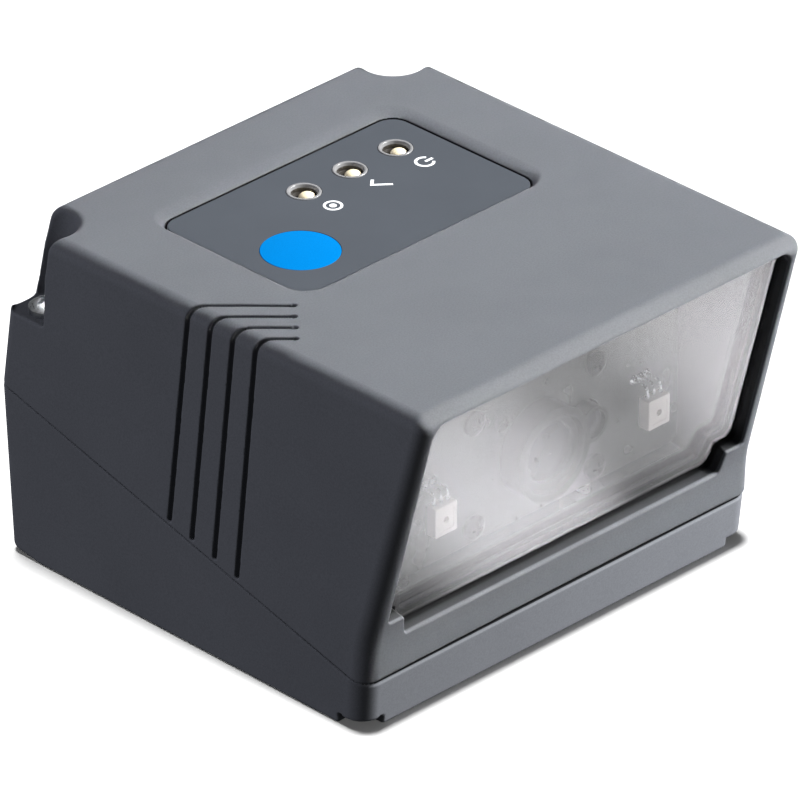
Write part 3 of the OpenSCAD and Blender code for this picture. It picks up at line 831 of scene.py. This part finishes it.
def board_mat(name, colour, trace):
    """Lacquered circuit board: paths of copper showing through, small pads."""
    m, t, b, co = start(name)
    br = t.nodes.new("ShaderNodeTexBrick")
    br.inputs["Scale"].default_value = 1 / 0.004
    br.inputs["Mortar Size"].default_value = 0.06
    br.inputs["Color1"].default_value = (*colour, 1)
    br.inputs["Color2"].default_value = (*shade(colour, 1.25), 1)
    br.inputs["Mortar"].default_value = (*trace, 1)
    t.links.new(co, br.inputs["Vector"])
    n = noise(t, co, 1 / 0.005, 3)
    s = ramp(t, n, [(0.3, (0.85, 0.85, 0.85)), (0.7, (1.05, 1.05, 1.05))])
    t.links.new(mix(t, 1.0, br.outputs["Color"], s, "MULTIPLY"), b.inputs["Base Color"])
    t.links.new(remap(t, n, 0.25, 0.4, 0.3, 0.7), b.inputs["Roughness"])
    bump(t, b, br.outputs["Fac"], 0.3, 0.01 * MM)
    return m


M = {
    "housing": moulded("housing_plastic", (0.0985, 0.103, 0.1145), rough=0.55, grain=0.2, depth=0.008, swing=0.035, specular=0.1),
    # painted shade: the walls and ledge of the window opening darken with depth
    "recess": moulded("housing_recess_painted_shade", (0.0985, 0.103, 0.1145), rough=0.5, grain=0.2, depth=0.008, swing=0.035, specular=0.12,
                      painted_shade_inward=[(0.0, (1.0, 1.0, 1.0)), (0.13, (1.0, 1.0, 1.0)), (0.24, (0.30, 0.30, 0.30)), (0.62, (0.22, 0.22, 0.22)), (0.8, (0.05, 0.05, 0.05))]),
    # painted shade: the gap round the film is blackened
    "well_rim_painted_shade": moulded("housing_well_painted_shade", (0.0985, 0.103, 0.1145), rough=0.55, grain=0.2, depth=0.008, swing=0.035, specular=0.1, painted_shade_below=41.87),
    # painted shade: near black for the inside of the cover and for the base's top face in the parting gap
    "inside": moulded("housing_inside_painted_shade", (0.018, 0.018, 0.02), rough=0.6, grain=0.2, depth=0.008, specular=0.1),
    "rubber": moulded("seal_rubber", (0.012, 0.012, 0.013), rough=0.62, grain=0.12, specular=0.15),
    "window": clear("clear_window", (0.97, 0.98, 0.985), rough=0.0, uneven=0.004, coat=1.0),
    "edge": moulded("window_edge", (0.025, 0.025, 0.026), rough=0.5, grain=0.15, specular=0.2),
    "film": moulded("overlay_film", (0.052, 0.058, 0.068), rough=0.4, grain=0.1, depth=0.003, swing=0.04, specular=0.3),
    "key": moulded("key_blue", (0.0, 0.125, 0.36), rough=0.42, grain=0.12, depth=0.004, swing=0.03, specular=0.1),
    "lens": clear("clear_lens", (0.95, 0.96, 0.97), rough=0.03),
    "collar": moulded("lamp_collar", (0.19, 0.19, 0.195), rough=0.2, grain=0.1, depth=0.003, swing=0.05),
    "well": moulded("lamp_well", (0.02, 0.017, 0.014), rough=0.3, grain=0.1, depth=0.003),
    "steel": metal("screw_steel", (0.72, 0.74, 0.77), 0.32),
    "green": board_mat("board_green", (0.01, 0.09, 0.04), (0.03, 0.16, 0.07)),
    "board": board_mat("board_black", (0.011, 0.0115, 0.013), (0.018, 0.0185, 0.02)),
    "oxide": metal("screw_black", (0.035, 0.035, 0.037), 0.45),
    "cream": moulded("lamp_cream", (0.72, 0.63, 0.44), rough=0.3, grain=0.1),
    "lamp": moulded("lamp_white", (0.60, 0.545, 0.515), rough=0.35, grain=0.15),
    "tin": metal("lead_tin", (0.8, 0.8, 0.82), 0.22),
    "black": moulded("black_plastic", (0.014, 0.014, 0.016), rough=0.5, grain=0.15, specular=0.2),
    "chip": moulded("chip_black", (0.022, 0.022, 0.025), rough=0.45, grain=0.08),
    "connector": moulded("connector_cream", (0.6, 0.54, 0.4), rough=0.4, grain=0.15),
    "flex": moulded("flex_amber", (0.32, 0.13, 0.02), rough=0.25, grain=0.3),
    "brass": metal("brass", (0.78, 0.58, 0.24), 0.28),
    "glass": coated("lens_glass", (0.004, 0.005, 0.011)),
    "print": moulded("white_print", (0.74, 0.76, 0.78), rough=0.4, grain=0.1, depth=0.002, swing=0.05),
    "die": moulded("lamp_die", (0.30, 0.26, 0.24), rough=0.3, grain=0.08),
}
SLOT = {
    "housing_plastic": "housing", "seal_rubber": "rubber", "clear_window": "window", "overlay_film": "film", "key_blue": "key",
    "clear_lens": "lens", "screw_steel": "steel", "board_green": "green", "board_black": "board", "screw_black": "oxide", "lamp_cream": "cream",
    "lamp_white": "lamp", "lead_tin": "tin", "black_plastic": "black", "chip_black": "chip", "connector_cream": "connector",
    "flex_amber": "flex", "brass": "brass", "lens_glass": "glass",
}
for sub in frame["record"]["subparts"]:
    o = NODES[sub["node"]]
    o.data.materials.clear()
    o.data.materials.append(M[SLOT[sub["material_slot"]]])

# ---------------------------------------------------------------- shells
STEP = 0.2
cover_shell = shell("cover_shell", cover_field, (-32, -39.2, 4.8), (32, 31.2, 43.2), STEP, 190000, "upper_cover", [M["housing"], M["recess"], M["well_rim_painted_shade"], M["inside"]], pick_cover)
base_shell = shell("base_shell", base_field, (-33, -31, -0.8), (33, 31, 23.2), STEP * 1.2, 120000, "base_housing", [M["housing"], M["inside"]], pick_base)

# ---------------------------------------------------------------- window pane


def window_ring(g):
    """Outline of the pane, set in by g, as points on the leaning face."""
    vt, vs, vl, h = VT - g, VS + g, VL + g, 28.2 - g
    pts = [(-24.95 + g, vl), (24.95 - g, vl), (25.6 - g, vs), (h, vs), (h, vt), (-h, vt), (-h, vs), (-25.6 + g, vs)]
    return rounded(pts, [1.1, 1.1, 0.5, 1.1, 1.6, 1.6, 1.1, 0.5], 8)


def from_face(x, v, w):
    return (x, -37.1 - v * SL - w * CL, H + v * CL - w * SL)


w = Build()
r0, r1, rm, r2, r3 = w.rings([
    [from_face(x, v, -3.39) for x, v in window_ring(0.2)],
    [from_face(x, v, -3.29) for x, v in window_ring(0.1)],
    [from_face(x, v, -2.6) for x, v in window_ring(0.1)],
    [from_face(x, v, -2.06) for x, v in window_ring(0.1)],
    [from_face(x, v, -1.9) for x, v in window_ring(0.26)],
], [2, 2, 1, 1])
out = (0, -CL, -SL)
w.flat([r3], 0, out)
w.flat([r0], 0, tuple(-c for c in out))
pane = w.done("window_pane", "housing", [M["window"], M["rubber"], M["edge"]], 20, ["front_window"])

# ---------------------------------------------------------------- control panel
FILM = 41.9
KEY = (-11.35, 0.85)
LAMPS = (13.0, 5.75, -1.5)
LAMP_Y = 10.2


def rrect_ring(cx, cy, hx, hy, r, n=10):
    pts = [(cx - hx, cy - hy), (cx + hx, cy - hy), (cx + hx, cy + hy), (cx - hx, cy + hy)]
    return rounded(pts, r, n)


def at(ring, z):
    return [(x, y, z) for x, y in ring]


w = Build()
edge = w.rings([at(rrect_ring(-0.1, 4.45, 18.42 - k, 11.47 - k, 2.3 - k), z) for k, z in ((0.03, 41.42), (0.0, 41.45), (0.0, FILM - 0.06), (0.06, FILM))])
tops, lows = [edge[-1]], [edge[0]]
for (hx, hy), hr in [(KEY, 4.58)] + [((x, LAMP_Y), 2.04) for x in LAMPS]:
    hole = w.rings([at(circle(hx, hy, hr, 72), 41.42), at(circle(hx, hy, hr, 72), FILM - 0.03), at(circle(hx, hy, hr + 0.03, 72), FILM)])
    tops.append(hole[-1])
    lows.append(hole[0])
w.flat(tops)
w.flat(lows, 0, (0, 0, -1))
w.done("panel_film", "housing", [M["film"]], 30, ["control_overlay"])

# key: a flat disc with a soft edge, its flange under the cover and its foot over the switch
w = Build()
prof = rounded([(0, 39.4), (1.5, 39.4), (1.5, 39.3), (5.35, 39.3), (5.35, 40.14), (4.54, 40.14), (4.54, FILM), (0, FILM + 0.0)], [0, 0, 0, 0.12, 0.12, 0.05, 0.08, 0], 5, False)
w.turned([(0, 39.2), (1.5, 39.2)] + prof[2:], (KEY[0], KEY[1], 0), 96)
w.done("blue_key", "key", [M["key"]], 30, ["trigger_button"])

# lamps: a thin grey collar, a dark well and a cream dome that sits off its middle
shiny = [NODES["rear_cover_screws"]]
for name, x in zip(("power", "good", "trigger"), LAMPS):
    w = Build()
    prof = [(0, 38.5), (1.85, 38.5), (1.97, 38.6), (1.97, 39.5), (2.33, 39.55), (2.33, 40.1), (2.0, 40.15), (2.0, FILM - 0.05)]
    prof += rounded([(2.0, FILM - 0.06), (2.0, FILM + 0.1), (1.66, FILM + 0.06), (1.5, FILM - 0.3)], [0, 0.12, 0.14, 0], 8, False)
    k1 = len(prof)
    prof += [(1.46, FILM - 0.5), (1.4, FILM - 0.72), (1.25, FILM - 0.8), (0, FILM - 0.8)]
    w.turned(prof, (x, LAMP_Y, 0), 64, [0 if k < k1 - 1 else 1 for k in range(len(prof) - 1)])
    dome = [(1.02 * math.cos(t), FILM - 0.82 + 0.7 * math.sin(t)) for t in np.linspace(0.0, math.pi / 2 - 0.06, 14)] + [(0, FILM - 0.12)]
    w.turned(dome, (x + 0.27, LAMP_Y - 0.27, 0), 48, 2)
    shiny.append(w.done("lamp_" + name, "housing", [M["collar"], M["well"], M["cream"]], 40, ["light_pipe_" + name]))


# printed signs beside the lamps, one simple figure each


def ribbon(w, pts, width, z0, z1, closed=False, m=0):
    """A flat band along a line of points."""
    p = [np.array(q, float) for q in pts]
    n = len(p)
    rings = []
    for k in range(n):
        a, b = (p[k - 1], p[(k + 1) % n]) if closed else (p[max(k - 1, 0)], p[min(k + 1, n - 1)])
        d0, d1 = p[k] - a, b - p[k]
        d0 = d1 if not closed and k == 0 else d0
        d1 = d0 if not closed and k == n - 1 else d1
        n0, n1 = [np.array((-d[1], d[0])) / np.linalg.norm(d) for d in (d0, d1)]
        side = (n0 + n1) / (1 + n0 @ n1) * (width / 2)
        l, r = p[k] + side, p[k] - side
        rings.append([(*l, z0), (*r, z0), (*r, z1), (*l, z1)])
    if closed:
        rings.append(rings[0])
    ids = w.rings(rings, m)
    if not closed:
        w.face(ids[0][::-1], m)
        w.face(ids[-1], m)


def sign(cx, cy):
    """Turns a figure drawn upright so that it reads from the front of the panel's right side."""
    return lambda pts: [(cx + v, cy - u) for u, v in pts]


w = Build()
Z0, Z1 = FILM - 0.005, FILM + 0.014
turn = sign(LAMPS[0], 5.6)
arc = [(1.02 * math.sin(t), 1.02 * math.cos(t)) for t in np.linspace(0.62, 2 * math.pi - 0.62, 40)]
ribbon(w, turn(arc), 0.34, Z0, Z1)
ribbon(w, turn([(0, 0.1), (0, 1.25)]), 0.34, Z0, Z1)
turn = sign(LAMPS[1], 5.6)
ribbon(w, turn([(-1.15, 0.1), (-0.35, -0.8), (1.2, 1.0)]), 0.36, Z0, Z1)
turn = sign(LAMPS[2], 5.6)
ribbon(w, turn(circle(0, 0, 0.98, 48)), 0.3, Z0, Z1, True)
ids = w.rings([[(*q, z) for q in turn(circle(0, 0, 0.42, 32))] for z in (Z0, Z1)])
w.face(ids[0])
w.face(ids[1])
w.done("panel_signs", "housing", [M["print"]], 30)

# ---------------------------------------------------------------- lamps behind the window
LED = (16.9, -26.5, 19.75)
for name, cx in (("left", -LED[0]), ("right", LED[0])):
    w = Build()
    cz = LED[2] + 1.85

    def face_ring(hx, hz, r, y):
        return [(x, y, z) for x, z in rrect_ring(cx, cz, hx, hz, r, 4)]

    y0 = LED[1]
    ids = w.rings([face_ring(1.64, 1.79, 0.14, y0 + 1.6), face_ring(1.7, 1.85, 0.2, y0 + 1.54), face_ring(1.7, 1.85, 0.2, y0 + 0.08),
                   face_ring(1.62, 1.77, 0.16, y0), face_ring(1.2, 1.3, 0.3, y0), face_ring(1.15, 1.25, 0.26, y0 + 0.05)])
    w.flat([ids[0]], 0, (0, 1, 0))
    eye = [[(cx + x, y0 + 0.05 + dy, cz - 0.05 + z) for x, z in circle(0, 0, r, 28)] for r, dy in ((0.42, 0.0), (0.36, 0.22), (0.2, 0.24))]
    ring = w.rings(eye, [0, 1])
    w.flat([ids[-1], ring[0]], 0, (0, -1, 0))
    w.flat([ring[-1]], 1, (0, -1, 0))
    w.done("led_" + name, "housing", [M["lamp"], M["die"]], 30, ["illumination_led_" + name])

w = Build()
for cx in (-LED[0], LED[0]):
    for i in (-1, 0, 1):
        x = cx + i * 1.05
        y, z = LED[1] + 0.9, LED[2] + 3.65
        path = [(x, y, z), (x, y, z + 0.75)]
        path += [(x, y + 0.75 - 0.75 * math.cos(t), z + 0.75 + 0.75 * math.sin(t)) for t in np.linspace(0.2, math.pi / 2, 8)]
        path += [(x, -24.2, z + 1.5), (x, -23.42, z + 1.5)]
        w.tube(path, 0.17, 10)
        # bead of solder at the board, and a crimp where the lead leaves the package
        bead = [(0.62, 0.0), (0.55, 0.14), (0.36, 0.34), (0.2, 0.6), (0.17, 0.75)]
        w.turned(bead, (x, -23.41, z + 1.5), 16, 0, lambda p: (p[0], -p[2], p[1]))
        w.turned([(0.27, 0.0), (0.27, 0.22), (0.22, 0.3), (0.17, 0.32)], (x, y, z + 0.02), 16)
shiny.append(w.done("led_leads", "housing", [M["tin"]], 40, ["illumination_led_leads"]))

# ---------------------------------------------------------------- floor
bm = bmesh.new()
bmesh.ops.create_grid(bm, x_segments=8, y_segments=8, size=8.0)
me = bpy.data.meshes.new("floor")
bm.to_mesh(me)
bm.free()
floor = bpy.data.objects.new("floor", me)
scene.collection.objects.link(floor)
m, t, b, co = start("floor_paper")
n = noise(t, co, 30, 3)
t.links.new(ramp(t, n, [(0.3, (0.49, 0.49, 0.49)), (0.7, (0.51, 0.51, 0.51))]), b.inputs["Base Color"])
b.inputs["Roughness"].default_value = 0.9
b.inputs["Specular IOR Level"].default_value = 0.1
me.materials.append(m)
floor.visible_diffuse = False
floor.visible_glossy = False
only_floor = bpy.data.collections.new("lit_by_wash")
only_floor.objects.link(floor)
wash.light_linking.receiver_collection = only_floor
only_pane = bpy.data.collections.new("lit_by_card")
only_pane.objects.link(pane)
card.light_linking.receiver_collection = only_pane
not_floor = bpy.data.collections.new("lit_by_main")
not_floor.objects.link(floor)
not_floor.collection_objects[0].light_linking.link_state = "EXCLUDE"
for o in (main, fill):
    o.light_linking.receiver_collection = not_floor
only_base = bpy.data.collections.new("lit_by_low_front")
only_base.objects.link(base_shell)
low.light_linking.receiver_collection = only_base
only_cover = bpy.data.collections.new("lit_by_low_chin")
only_cover.objects.link(cover_shell)
chin.light_linking.receiver_collection = only_cover
sheen.light_linking.receiver_collection = only_cover
only_screws = bpy.data.collections.new("lit_by_glint")
only_screws.objects.link(NODES["rear_cover_screws"])
glint.light_linking.receiver_collection = only_screws
glint.light_linking.blocker_collection = only_screws
only_shiny = bpy.data.collections.new("lit_by_spark")
for o in shiny:
    only_shiny.objects.link(o)
spark.light_linking.receiver_collection = only_shiny
wash.light_linking.blocker_collection = only_base
lift.light_linking.receiver_collection = only_floor
lift.light_linking.blocker_collection = only_floor
card.light_linking.blocker_collection = only_pane
